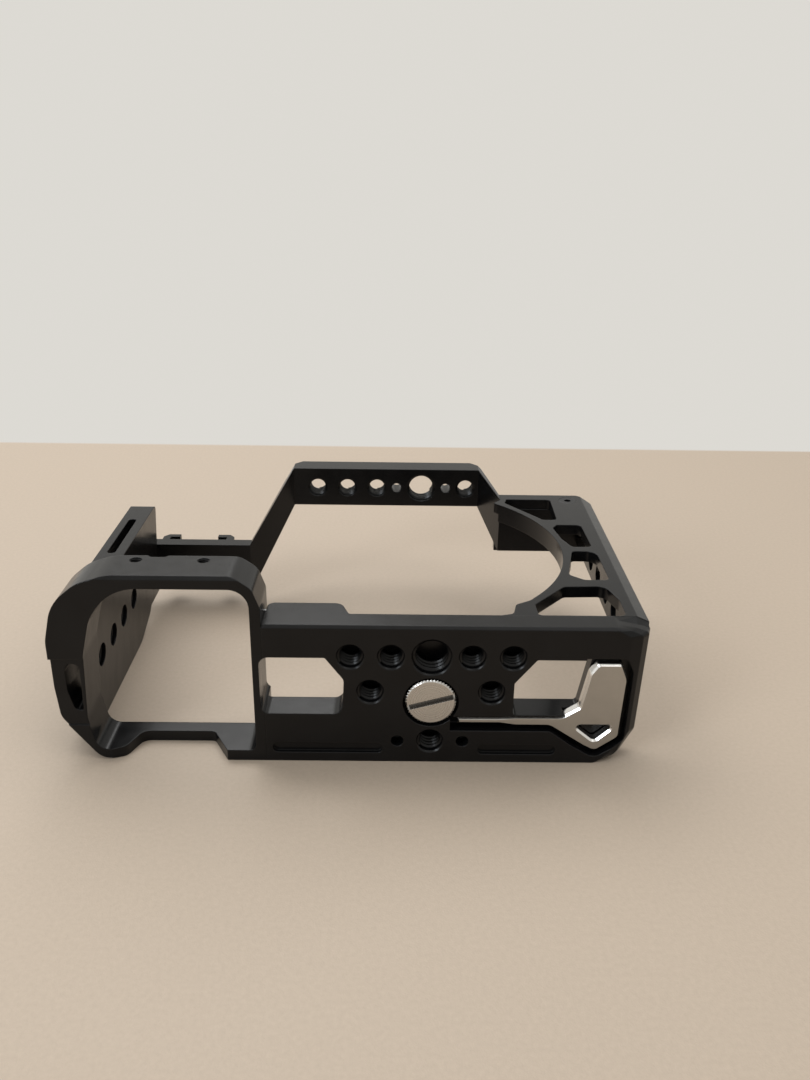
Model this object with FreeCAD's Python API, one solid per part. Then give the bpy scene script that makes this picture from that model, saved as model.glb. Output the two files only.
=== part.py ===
import FreeCAD, Part
import math
import os

# Camera cage for a mirrorless body, lying on its back: +Z is the lens side, -Y is the base plate's outer face.
# The drawing frame has X = 0 and Y = 0 at the 3/8 in hole of the base plate. The whole set is centred at the end.
# All lengths are millimetres.

OUT_DIR = "parts"

# Base plate
PLATE_LEFT = -41.4
PLATE_RIGHT = 54.0
PLATE_H = 39.0
PLATE_SPLIT_X = 36.0
PLATE_T = 7.8
FRONT_STRIP_T = 6.5
PANEL_T = 3.2
EDGE_CH = 0.7
TAB_LEFT = -41.0
TAB_RIGHT = -22.6
TAB_DEPTH = 12.2
CORNER_BEVEL_X = 5.6
CORNER_BEVEL_Y = 5.2

# Threaded holes and locating holes
R_QUARTER = 3.175
R_THREE_EIGHTHS = 4.7625
MOUTH_CH = 0.4
ROW_FRONT_Z = PLATE_H - 8.5
ROW_MID_Z = 20.6
ROW_REAR_Z = 6.3
ROW_PITCH = 10.0
ROW_MID_X = 15.1
R_BASE_PIN = 1.6
BASE_PIN_X = 8.25

# Camera screw and its seat
SCREW_Z = 17.7
SEAT_R = 7.0
SEAT_DEPTH = 3.6
WEB_T = 1.6
INNER_SEAT_R = 5.9
SCREW_HEAD_R = 6.2
SCREW_HEAD_FACE = 0.1
SCREW_HEAD_T = 2.5
SCREW_SHANK_R = 3.175
SHANK_FIT = 0.07
SCREW_TIP_Y = 12.9
SCREW_SLOT_W = 1.5
SCREW_SLOT_D = 1.2
SCREW_SLOT_DEG = 16.0
GROOVE_R = 2.45
CLIP_Y = 6.9
CLIP_T = 0.6
CLIP_R = 4.9
WASHER_Y = 2.85
WASHER_T = 0.4
WASHER_R = 5.9

# Driver tool and its pocket
POCKET_DEPTH = 3.9
TOOL_FACE = 0.9
TOOL_T = 2.6
TOOL_BEVEL = 0.5
MAGNET_R = 2.0
MAGNET_T = 1.6
MAGNET_CLEAR = 0.3

# Grip frame: loop round the grip foot and the side wall above it
LOOP_DEPTH = 12.3
LOOP_LEFT = -93.6
LOOP_TOP = 51.6
LOOP_BAND = 3.2
LOOP_BAR_T = 3.0
COLUMN_INNER = -85.0
POST_LEFT = -44.0
WALL_LEFT = -93.7
WALL_TOP_INNER = -86.2
WALL_BASE_INNER = -88.1
WALL_TOP_Z = 36.7
WALL_END_Y = 84.3
SIDE_HOLE_Z = 18.8
SIDE_HOLE_Y0 = 20.4
SIDE_PITCH = 11.1

# Top bridge
BAR_IN_Y = 103.5
BAR_T = 7.5
BAR_OUT_Y = BAR_IN_Y + BAR_T
BAR_Z0 = 30.0
BAR_Z1 = 43.0
BAR_X0 = -43.6
BAR_X1 = 18.6
BAR_HOLE_X = -0.7
BAR_HOLE_Z = 36.4
BAR_PIN_X = 8.3
BAR_PIN_R = 1.6
SHOULDER_IN_Y = 86.5
SHOULDER_T = 4.5
LEFT_SH_Z0 = 5.6
LEFT_SH_Z1 = 22.0
LEFT_SH_X1 = -57.0
RIGHT_SH_X0 = 24.5
RIGHT_SH_Z0 = 21.0

# Accessory shoes, ISO 518
SHOE_SLOT_W = 18.7
SHOE_SLOT_H = 2.1
SHOE_GAP_W = 12.6
SHOE_LIP_T = 2.0
SHOE_SIDE_T = 2.4
SHOE_L = 16.4
LEFT_SHOE_X = -74.9
RIGHT_SHOE_X = 35.4

# Lens side frame
ARC_CX = -9.5
ARC_CY = 47.6
ARC_R = 47.7
RIM_W = 2.8
RIM_DROP = 2.6
RAIL_IN_X = 50.0
FOOT_DEPTH = 12.4
FOOT_DROP = 8.1
RAIL_Z0 = 24.5
RAIL_HOLE_Z = 29.6
RAIL_HOLE_Y0 = 27.6

# Small fasteners
M25_R = 1.25
M25_HEAD_R = 2.35
M25_HEAD_H = 1.4
M3_R = 1.5
M3_HEAD_R = 2.75
M3_HEAD_H = 1.7
DOWEL_R = 1.0
CLOSE_FIT = 0.04

# Pads
PAD_T = 1.1
PAD_SUNK = 0.6
PAD_GAP = 0.15


def place(a, b, c, plane):
    """Point with in-plane coordinates a, b on the named plane at offset c."""
    if plane == "XZ":
        return FreeCAD.Vector(a, c, b)
    if plane == "YZ":
        return FreeCAD.Vector(c, a, b)
    return FreeCAD.Vector(a, b, c)


def outline(points, plane, c):
    """Closed wire through points (a, b) or (a, b, corner radius)."""
    n = len(points)
    spans = []
    for i in range(n):
        p = FreeCAD.Vector(points[i][0], points[i][1], 0)
        r = points[i][2] if len(points[i]) > 2 else 0.0
        if r <= 0:
            spans.append((p, p, None))
            continue
        before = FreeCAD.Vector(points[i - 1][0], points[i - 1][1], 0) - p
        after = FreeCAD.Vector(points[(i + 1) % n][0], points[(i + 1) % n][1], 0) - p
        half = before.getAngle(after) / 2.0
        reach = r / math.tan(half)
        u = FreeCAD.Vector(before).normalize()
        v = FreeCAD.Vector(after).normalize()
        mid = FreeCAD.Vector(u + v).normalize()
        spans.append((p + u * reach, p + v * reach, p + mid * (r / math.sin(half) - r)))
    edges = []
    for i in range(n):
        start, end, mid = spans[i]
        nxt = spans[(i + 1) % n][0]
        if mid is not None:
            edges.append(Part.Arc(*[place(q.x, q.y, c, plane) for q in (start, mid, end)]).toShape())
        if (nxt - end).Length > 1e-6:
            a = place(end.x, end.y, c, plane)
            b = place(nxt.x, nxt.y, c, plane)
            edges.append(Part.makeLine(a, b))
    return Part.Wire(Part.__sortEdges__(edges))


def slab(points, plane, c0, c1):
    """Straight extrusion of an outline between two offsets."""
    face = Part.Face(outline(points, plane, c0))
    step = place(0, 0, c1 - c0, plane)
    return face.extrude(step)


def block(x0, x1, y0, y1, z0, z1):
    return Part.makeBox(x1 - x0, y1 - y0, z1 - z0, FreeCAD.Vector(x0, y0, z0))


def rod(r, x, y, z, axis, length):
    return Part.makeCylinder(r, length, FreeCAD.Vector(x, y, z), FreeCAD.Vector(*axis))


def cone(r0, r1, x, y, z, axis, length):
    return Part.makeCone(r0, r1, length, FreeCAD.Vector(x, y, z), FreeCAD.Vector(*axis))


def ruled(wires):
    return Part.makeLoft(wires, True, True)


def through_y(r, x, z, y0, y1, lead_in=False):
    """Cutter along Y, with a small lead-in chamfer at the near mouth where asked."""
    cuts = [rod(r, x, y0 - 1, z, (0, 1, 0), y1 - y0 + 2)]
    if lead_in:
        cuts.append(cone(r + MOUTH_CH + 0.2, r - 0.2, x, y0 - 0.2, z, (0, 1, 0), MOUTH_CH + 0.4))
    return cuts


def through_x(r, y, z, x0, x1):
    """Cutter along X."""
    return [rod(r, x0 - 1, y, z, (1, 0, 0), x1 - x0 + 2)]


def fastener(r, head_r, head_h, x, y, z, axis, length):
    """Countersunk screw: the head's flat face sits at the point, the shank runs along the axis."""
    head = cone(head_r, r, x, y, z, axis, head_h)
    return head.fuse(rod(r, x, y, z, axis, length)).removeSplitter()


def fastener_hole(r, head_r, head_h, x, y, z, axis, length):
    """Matching hole: a countersink that opens at the point, then a bore a close fit round the shank."""
    slope = (head_r - r) / head_h
    lip = 0.5
    ax = FreeCAD.Vector(*axis) * -lip
    wide = head_r + CLOSE_FIT + slope * lip
    sink = cone(wide, r + CLOSE_FIT, x + ax.x, y + ax.y, z + ax.z, axis, head_h + lip)
    return [sink, rod(r + CLOSE_FIT, x, y, z, axis, length + 0.3)]


def clean(shape):
    return shape.removeSplitter()


# Right end of the plate, seen from outside: the lower corner is cut away in two steps
def plate_end(inset_x, inset_low, inset_top):
    right = PLATE_RIGHT - inset_x
    return [
        (PLATE_SPLIT_X, 0),
        (43.9 - inset_low * 0.5, 0, 3.0),
        (49.0 - inset_low, 1.6 + inset_low * 0.55, 3.0),
        (right - 0.9, 9.2, 2.0),
        (right, PLATE_H - 2.0 - inset_top, 1.2),
        (right - 3.4 + inset_top, PLATE_H - 0.9, 0.4),
        (45.0 - inset_top, PLATE_H, 3.0),
        (PLATE_SPLIT_X, PLATE_H),
    ]


def edge_bevel_profile(t):
    """Share of the corner inset left at depth share t, following a quarter round."""
    return 1.0 - math.sqrt(max(0.0, 1.0 - (1.0 - t) ** 2))


# Fixing screw positions: point on the head face, direction of the shank
GRIP_SCREWS = [
    (POST_LEFT, 5.0, 34.6, (1, 0, 0), 8.0),
    (POST_LEFT, 5.0, 9.4, (1, 0, 0), 8.0),
]
GRIP_DOWELS = [
    (-43.0, 9.7, 37.4, (1, 0, 0), 5.0),
    (-43.0, 5.0, 1.9, (1, 0, 0), 5.0),
]
BRIDGE_SIDE_SCREWS = [
    (WALL_LEFT, SHOULDER_IN_Y + 2.25, 9.6, (1, 0, 0), 12.0),
    (WALL_LEFT, SHOULDER_IN_Y + 2.25, 18.0, (1, 0, 0), 12.0),
]
BRIDGE_FRONT_SCREW = (46.2, 86.3, PLATE_H, (0, 0, -1), 9.5)
LENS_FRAME_SCREWS = [
    (47.2, FOOT_DEPTH, PLATE_H - 6.0, (0, -1, 0), 9.0),
    (24.2, FOOT_DEPTH, PLATE_H - 5.8, (0, -1, 0), 9.0),
]
LENS_FRAME_DOWELS = [
    (52.0, 10.6, PLATE_H - 10.6, (0, -1, 0), 6.0),
    (29.2, 10.4, PLATE_H - 5.6, (0, -1, 0), 6.0),
]
BRIDGE_DOWELS = [
    (28.2, 88.75, PLATE_H - PANEL_T + 2.0, (0, 0, -1), 6.0),
    (52.0, 88.75, PLATE_H - PANEL_T + 2.0, (0, 0, -1), 6.0),
]

TOOL_POINTS = [
    (6.9, 12.7),
    (6.9, 11.0),
    (17.7, 11.0, 3.0),
    (21.5, 10.4, 3.0),
    (30.2, 10.4, 3.0),
    (39.2, 4.4, 2.4),
    (42.3, 2.8, 2.2),
    (48.2, 7.2, 2.0),
    (48.4, 12.0, 3.0),
    (48.9, 24.2, 3.0),
    (47.2, 28.5, 1.0),
    (41.2, 28.5, 1.0),
    (39.3, 25.6, 2.0),
    (37.5, 15.9, 1.0),
    (33.3, 13.1, 1.6),
    (21.4, 13.1, 3.0),
    (17.6, 12.7, 3.0),
]
TOOL_EYE = [(36.2, 10.6, 0.7), (41.9, 5.9, 1.2), (46.8, 10.6, 0.7)]
POCKET_POINTS = [
    (5.0, 9.4),
    (30.4, 9.4, 2.0),
    (36.0, 5.2, 3.0),
    (42.0, 1.5, 3.0),
    (49.3, 6.4, 2.0),
    (49.6, 12.0, 3.0),
    (49.9, 26.5, 3.0),
    (48.0, 30.6, 1.6),
    (38.0, 30.6),
    (36.6, 16.6, 1.0),
    (33.0, 13.9, 1.0),
    (5.0, 13.6),
]
MAGNETS = [(45.6, 22.0), (32.8, 11.6)]

# The left window crosses the joint between the plate and the grip frame's post
LEFT_WINDOW = [
    (-42.4, 14.1, 2.2),
    (-22.0, 14.1, 2.6),
    (-21.6, 24.0, 2.0),
    (-26.2, PLATE_H - 8.8, 0.6),
    (-42.4, PLATE_H - 8.8, 2.4),
]


def make_bottom_plate():
    shares = [0.0, 0.15, 0.45, 1.0]
    wires = []
    for t in shares:
        k = edge_bevel_profile(t)
        wires.append(outline(plate_end(CORNER_BEVEL_X * k, 3.0 * k, 0.5 * k), "XZ", CORNER_BEVEL_Y * t))
    end = ruled(wires).fuse(slab(plate_end(0, 0, 0), "XZ", CORNER_BEVEL_Y, PLATE_T))
    body = block(PLATE_LEFT, PLATE_SPLIT_X, 0, PLATE_T, 0, PLATE_H).fuse(end)
    shelf_z = PLATE_H - PANEL_T
    tab = slab(
        [
            (TAB_LEFT, PLATE_T - 1.0),
            (TAB_RIGHT + 2.0, PLATE_T - 1.0),
            (TAB_RIGHT, TAB_DEPTH, 2.6),
            (TAB_LEFT, TAB_DEPTH, 2.0),
        ],
        "XY",
        shelf_z,
        PLATE_H,
    )
    # The strip thins in front of the camera, from the tab's foot to the right end
    rebate = slab(
        [(TAB_RIGHT + 1.2, PLATE_T), (-20.4, FRONT_STRIP_T, 1.0), (60, FRONT_STRIP_T), (60, PLATE_T + 1)],
        "XY",
        shelf_z,
        PLATE_H + 1,
    )
    body = body.cut(rebate).fuse(tab)
    front_edge = slab(
        [(-1, PLATE_H + 1), (-1, PLATE_H - EDGE_CH), (0, PLATE_H - EDGE_CH), (EDGE_CH, PLATE_H + 0.01), (EDGE_CH, PLATE_H + 1)],
        "YZ",
        PLATE_LEFT - 1,
        46.0,
    )
    cuts = [front_edge]
    # Windows
    cuts.append(slab(LEFT_WINDOW, "XZ", -1, LOOP_DEPTH + 1))
    cuts.append(
        slab(
            [(20.6, 14.2, 1.0), (20.6, 23.4, 1.0), (25.9, 30.1, 0.6), (40.4, 30.1, 0.6), (37.6, 14.2, 1.0)],
            "XZ",
            -1,
            PLATE_T + 1,
        )
    )
    # Outer holes
    for k in (-2, -1, 1, 2):
        cuts += through_y(R_QUARTER, k * ROW_PITCH, ROW_FRONT_Z, 0, PLATE_T, True)
    cuts += through_y(R_THREE_EIGHTHS, 0, ROW_FRONT_Z, 0, PLATE_T, True)
    for s in (-1, 1):
        cuts += through_y(R_QUARTER, s * ROW_MID_X, ROW_MID_Z, 0, PLATE_T, True)
        cuts.append(rod(R_BASE_PIN, s * BASE_PIN_X, -1, ROW_REAR_Z, (0, 1, 0), 5.0))
    cuts += through_y(R_QUARTER, 0, ROW_REAR_Z, 0, PLATE_T, True)
    # Camera screw seat, web bore and inner seat for the clip
    cuts.append(rod(SEAT_R, 0, -1, SCREW_Z, (0, 1, 0), 1 + SEAT_DEPTH))
    cuts.append(rod(SCREW_SHANK_R + SHANK_FIT, 0, 0, SCREW_Z, (0, 1, 0), PLATE_T + 1))
    cuts.append(rod(INNER_SEAT_R, 0, SEAT_DEPTH + WEB_T, SCREW_Z, (0, 1, 0), PLATE_T))
    # Long reliefs either side of the rear hole
    cuts.append(slab([(-39.8, 2.6, 1.4), (-12.0, 2.6, 1.4), (-12.0, 5.6, 1.4), (-39.8, 5.6, 1.4)], "XZ", -1, 1.0))
    cuts.append(slab([(12.2, 2.4, 1.4), (32.8, 2.4, 1.4), (31.4, 5.4, 1.0), (12.2, 5.4, 1.4)], "XZ", -1, 1.0))
    # Tool pocket with a magnet seat under each end of the tool's handle
    cuts.append(slab(POCKET_POINTS, "XZ", -1, POCKET_DEPTH))
    for x, z in MAGNETS:
        cuts.append(rod(MAGNET_R + 0.05, x, POCKET_DEPTH - 0.1, z, (0, 1, 0), MAGNET_T + 0.15))
    # Inner recesses for the pads, and the index pin's seat
    for pts in pad_outlines(0.0):
        cuts.append(slab(pts, "XZ", PLATE_T - PAD_SUNK, PLATE_T + 1))
    cuts.append(rod(1.5 + CLOSE_FIT, INDEX_PIN[0], PLATE_T - 3.0, INDEX_PIN[1], (0, 1, 0), 5.0))
    # Fixing holes that start in the neighbours
    for x, y, z, axis, length in GRIP_SCREWS:
        cuts.append(rod(M25_R + CLOSE_FIT, x, y, z, axis, length + 0.3))
    for x, y, z, axis, length in GRIP_DOWELS:
        cuts.append(rod(DOWEL_R + CLOSE_FIT, x, y, z, axis, length + 0.2))
    for x, y, z, axis, length in LENS_FRAME_SCREWS:
        cuts.append(rod(M25_R + CLOSE_FIT, x, y, z, axis, length + 0.3))
    for x, y, z, axis, length in LENS_FRAME_DOWELS:
        cuts.append(rod(DOWEL_R + CLOSE_FIT, x, y, z, axis, length + 0.2))
    return clean(body.cut(cuts))


INDEX_PIN = (-10.4, 10.2)


def pad_outlines(gap):
    """Two soft pads on the inner face, one on each side of the screw."""
    g = gap
    return [
        [(-40.0 + g, 1.6 + g), (-14.0 - g, 1.6 + g), (-14.0 - g, 12.4 - g), (-40.0 + g, 12.4 - g)],
        [(12.0 + g, 1.6 + g), (34.0 - g, 1.6 + g), (34.0 - g, 12.4 - g), (12.0 + g, 12.4 - g)],
    ]


def make_pad(index):
    return slab(pad_outlines(PAD_GAP)[index], "XZ", PLATE_T - PAD_SUNK, PLATE_T - PAD_SUNK + PAD_T)


def make_index_pin():
    x, z = INDEX_PIN
    low = PLATE_T - 3.0
    return rod(1.5, x, low, z, (0, 1, 0), 5.8)


def make_grip_frame():
    outer = [
        (PLATE_LEFT, 0),
        (-76.4, 0, 4.0),
        (-83.6, 0.6, 4.0),
        (-92.4, 12.4, 5.0),
        (LOOP_LEFT, 27.0, 20.0),
        (LOOP_LEFT, 34.0, 10.0),
        (-91.2, LOOP_TOP - 7.6, 12.0),
        (-84.6, LOOP_TOP - 2.0, 12.0),
        (-78.0, LOOP_TOP, 14.0),
        (-47.4, LOOP_TOP, 5.0),
        (-43.2, LOOP_TOP - 3.0, 4.0),
        (PLATE_LEFT, LOOP_TOP - 8.0, 3.0),
    ]
    inner = [
        (POST_LEFT, LOOP_BAR_T, 2.0),
        (-84.2, LOOP_BAR_T, 3.6),
        (-85.9, 12.0, 8.0),
        (COLUMN_INNER, 30.0, 12.0),
        (-82.4, LOOP_TOP - 11.2, 12.0),
        (-76.4, LOOP_TOP - LOOP_BAND, 12.0),
        (POST_LEFT, LOOP_TOP - LOOP_BAND, 5.0),
    ]
    loop = slab(outer, "XZ", 0, LOOP_DEPTH).cut(slab(inner, "XZ", -1, LOOP_DEPTH + 1))
    # Rear bar set back behind the battery door, with ramped ends
    notch = slab(
        [
            (-82.0, -1),
            (-80.6, 0.0, 4.0),
            (-77.4, 1.4, 3.0),
            (-74.6, 8.3, 3.0),
            (-56.0, 8.3, 1.6),
            (-51.4, 0.0, 1.2),
            (-50.6, -1),
        ],
        "XY",
        -1,
        LOOP_BAR_T + 1,
    )
    # Shallow dip at the back of the front band
    dip = slab(
        [(-70.6, LOOP_DEPTH + 1), (-69.4, LOOP_DEPTH - 0.9, 1.0), (-65.6, LOOP_DEPTH - 0.9, 1.0), (-64.2, LOOP_DEPTH + 1)],
        "XY",
        LOOP_TOP - LOOP_BAND - 1,
        LOOP_TOP + 1,
    )
    step = block(LOOP_LEFT - 2, LOOP_LEFT + 0.5, -1, LOOP_DEPTH + 1, -1, 29.0)
    cuts = [notch, dip, step, slab(LEFT_WINDOW, "XZ", -1, LOOP_DEPTH + 1)]
    # Front edge chamfer of the band, and the relief under the seam line of the column
    cuts.append(
        slab(
            [(-1, LOOP_TOP + 1), (-1, LOOP_TOP - 0.8), (0, LOOP_TOP - 0.8), (0.8, LOOP_TOP), (0.8, LOOP_TOP + 1)],
            "YZ",
            -80.0,
            -46.0,
        )
    )
    cuts.append(block(LOOP_LEFT - 2, COLUMN_INNER + 2, -1, 0.35, 10.2, 29.0))
    # Strap slot through the column
    cuts.append(
        slab(
            [(-90.0, 25.6, 1.6), (-90.0, 20.0, 4.0), (-88.6, 14.4, 1.5), (-86.5, 14.4, 0.9), (-86.3, 27.6, 1.6), (-89.4, 27.6, 1.2)],
            "XZ",
            -1,
            LOOP_DEPTH + 4.2,
        )
    )
    for x in (-72.4, -55.9):
        cuts.append(rod(M3_R, x, 9.6, LOOP_TOP - LOOP_BAND - 1, (0, 0, 1), LOOP_BAND + 2))
    for x, y, z, axis, length in GRIP_SCREWS:
        cuts += fastener_hole(M25_R, M25_HEAD_R, M25_HEAD_H, x, y, z, axis, length)
    for x, y, z, axis, length in GRIP_DOWELS:
        cuts.append(rod(DOWEL_R + CLOSE_FIT, x, y, z, axis, length))
    # Side wall, a tapered plate that runs up to the shoulder
    profile = [
        (LOOP_DEPTH - 2.0, 0.0),
        (60.0, 0.0, 16.0),
        (75.0, 5.2, 8.0),
        (76.6, 14.0, 3.0),
        (WALL_END_Y, 20.4, 0.4),
        (WALL_END_Y, WALL_TOP_Z, 1.6),
        (LOOP_DEPTH - 2.0, WALL_TOP_Z),
    ]
    wall = slab(profile, "YZ", WALL_LEFT, WALL_TOP_INNER)
    taper = slab(
        [(WALL_BASE_INNER, -1), (WALL_TOP_INNER, WALL_TOP_Z + 0.01), (WALL_TOP_INNER + 2, WALL_TOP_Z + 1), (WALL_TOP_INNER + 2, -1)],
        "XZ",
        LOOP_DEPTH,
        WALL_END_Y + 2,
    )
    corner = slab(
        [
            (WALL_LEFT, 74.0),
            (-88.0, 74.0),
            (-88.0, SHOULDER_IN_Y + SHOULDER_T),
            (WALL_LEFT, SHOULDER_IN_Y + SHOULDER_T, 3.0),
        ],
        "XY",
        LEFT_SH_Z0,
        LEFT_SH_Z1,
    )
    toe = slab(
        [(-86.0, -0.01), (-86.0, -3), (-99, -3), (-99, 8), (-93.9, 6.6, 2.0), (-90.0, 0.6, 2.0), (-88.6, -0.01)],
        "XZ",
        LOOP_DEPTH - 3,
        WALL_END_Y + 12,
    )
    wall = wall.cut([taper]).fuse(corner).cut([toe])
    keep_out = slab(inner, "XZ", -1, LOOP_DEPTH + 0.01)
    wall = wall.cut(keep_out)
    # Strap slot down the front strip, meeting a side window
    slot_y0 = 46.5
    slot_y1 = 72.2
    wall_cuts = [
        slab(
            [(-91.4, slot_y0, 1.1), (-89.0, slot_y0, 1.1), (-89.0, slot_y1, 1.1), (-91.4, slot_y1, 1.1)],
            "XY",
            27.0,
            WALL_TOP_Z + 1,
        ),
        slab([(slot_y0, 27.0), (slot_y1, 27.0), (slot_y1, 31.6, 1.5), (slot_y0, 31.6, 1.5)], "YZ", WALL_LEFT - 1, -90.2),
    ]
    for k in range(4):
        wall_cuts += through_x(R_QUARTER, SIDE_HOLE_Y0 + k * SIDE_PITCH, SIDE_HOLE_Z, WALL_LEFT, -87.2)
    for x, y, z, axis, length in BRIDGE_SIDE_SCREWS:
        wall_cuts += fastener_hole(M25_R, M25_HEAD_R, M25_HEAD_H, x, y, z, axis, length)
    body = loop.fuse(wall).cut(cuts + wall_cuts)
    return clean(body)


def quad(x, y0, y1, z0, z1):
    pts = [(y0, z0), (y1, z0), (y1, z1), (y0, z1)]
    return outline(pts, "YZ", x)


def make_shoe(cx, z0):
    """Two undercut lips that form an accessory shoe, open at both ends."""
    base = SHOULDER_IN_Y + SHOULDER_T
    half = SHOE_SLOT_W / 2.0
    lips = []
    for s in (-1, 1):
        pts = [
            (cx + s * half, base - 0.5),
            (cx + s * half, base + SHOE_SLOT_H),
            (cx + s * SHOE_GAP_W / 2.0, base + SHOE_SLOT_H),
            (cx + s * SHOE_GAP_W / 2.0, base + SHOE_SLOT_H + SHOE_LIP_T),
            (cx + s * (half + SHOE_SIDE_T - 1.6), base + SHOE_SLOT_H + SHOE_LIP_T),
            (cx + s * (half + SHOE_SIDE_T), base + SHOE_SLOT_H + 0.2),
            (cx + s * (half + SHOE_SIDE_T), base - 0.5),
        ]
        lips.append(slab(pts, "XY", z0, z0 + SHOE_L))
    return lips


def make_top_bridge():
    out_y = SHOULDER_IN_Y + SHOULDER_T
    shelf_z = PLATE_H - PANEL_T
    left = block(-88.0, LEFT_SH_X1, SHOULDER_IN_Y, out_y, LEFT_SH_Z0, LEFT_SH_Z1)
    # Legs swell from the shoulders to the bar in both directions at once
    left_leg = ruled([quad(LEFT_SH_X1, SHOULDER_IN_Y, out_y, LEFT_SH_Z0, LEFT_SH_Z1), quad(BAR_X0, BAR_IN_Y, BAR_OUT_Y, BAR_Z0, BAR_Z1)])
    bar = block(BAR_X0, BAR_X1, BAR_IN_Y, BAR_OUT_Y, BAR_Z0, BAR_Z1)
    right_leg = ruled([quad(BAR_X1, BAR_IN_Y, BAR_OUT_Y, BAR_Z0, BAR_Z1), quad(RIGHT_SH_X0, SHOULDER_IN_Y, out_y, RIGHT_SH_Z0, PLATE_H)])
    right = slab(
        [
            (RIGHT_SH_X0 - 0.01, SHOULDER_IN_Y),
            (53.9, SHOULDER_IN_Y),
            (53.9, 87.6, 1.5),
            (49.6, out_y, 1.5),
            (RIGHT_SH_X0 - 0.01, out_y),
        ],
        "XY",
        RIGHT_SH_Z0,
        shelf_z,
    )
    lug = slab(
        [(41.6, SHOULDER_IN_Y + 0.5), (43.0, 82.6, 1.0), (50.0, 82.6, 1.0), (50.0, SHOULDER_IN_Y + 0.5)],
        "XY",
        27.4,
        shelf_z,
    )
    parts = [left_leg, bar, right_leg, right, lug] + make_shoe(LEFT_SHOE_X, LEFT_SH_Z0) + make_shoe(RIGHT_SHOE_X, RIGHT_SH_Z0 - 2.0 + 0.4)
    body = left.fuse(parts)
    cuts = []
    # Soft front corners of the bar
    for x, s in ((BAR_X0, 1), (BAR_X1, -1)):
        cuts.append(
            slab(
                [(x - s * 9, BAR_OUT_Y + 1), (x - s * 2.6, BAR_OUT_Y - 5.2), (x + s * 3.4, BAR_OUT_Y + 1)],
                "XY",
                BAR_Z0 - 14,
                BAR_Z1 + 1,
            )
        )
    for dx in (-35.0, -25.0, -15.0, 15.0):
        cuts += through_y(R_QUARTER, BAR_HOLE_X + dx, BAR_HOLE_Z, BAR_IN_Y, BAR_OUT_Y)
    cuts += through_y(R_THREE_EIGHTHS, BAR_HOLE_X, BAR_HOLE_Z, BAR_IN_Y, BAR_OUT_Y)
    for s in (-1, 1):
        cuts.append(rod(BAR_PIN_R, BAR_HOLE_X + s * BAR_PIN_X, BAR_IN_Y - 1, BAR_HOLE_Z, (0, 1, 0), 12))
    for x, y, z, axis, length in BRIDGE_SIDE_SCREWS:
        cuts.append(rod(M25_R + CLOSE_FIT, x, y, z, axis, length + 0.3))
    x, y, z, axis, length = BRIDGE_FRONT_SCREW
    cuts.append(rod(M3_R + CLOSE_FIT, x, y, z, axis, length + 0.3))
    for x, y, z, axis, length in BRIDGE_DOWELS:
        cuts.append(rod(DOWEL_R + CLOSE_FIT, x, y, z, axis, length + 0.2))
    return clean(body.cut(cuts))


def arc_points(r, y0, y1, n):
    pts = []
    for i in range(n + 1):
        y = y0 + (y1 - y0) * i / n
        pts.append((ARC_CX + math.sqrt(r * r - (y - ARC_CY) ** 2), y))
    return pts


def arc_band(r0, r1, y0, y1, z0, z1):
    """Band between two radii about the lens axis, cut off at two heights along Y."""
    inner = Part.makeCylinder(r0, z1 - z0, FreeCAD.Vector(ARC_CX, ARC_CY, z0))
    outer = Part.makeCylinder(r1, z1 - z0, FreeCAD.Vector(ARC_CX, ARC_CY, z0))
    window = block(ARC_CX + 8, ARC_CX + r1 + 2, y0, y1, z0, z1)
    return outer.cut(inner).common(window)


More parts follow.
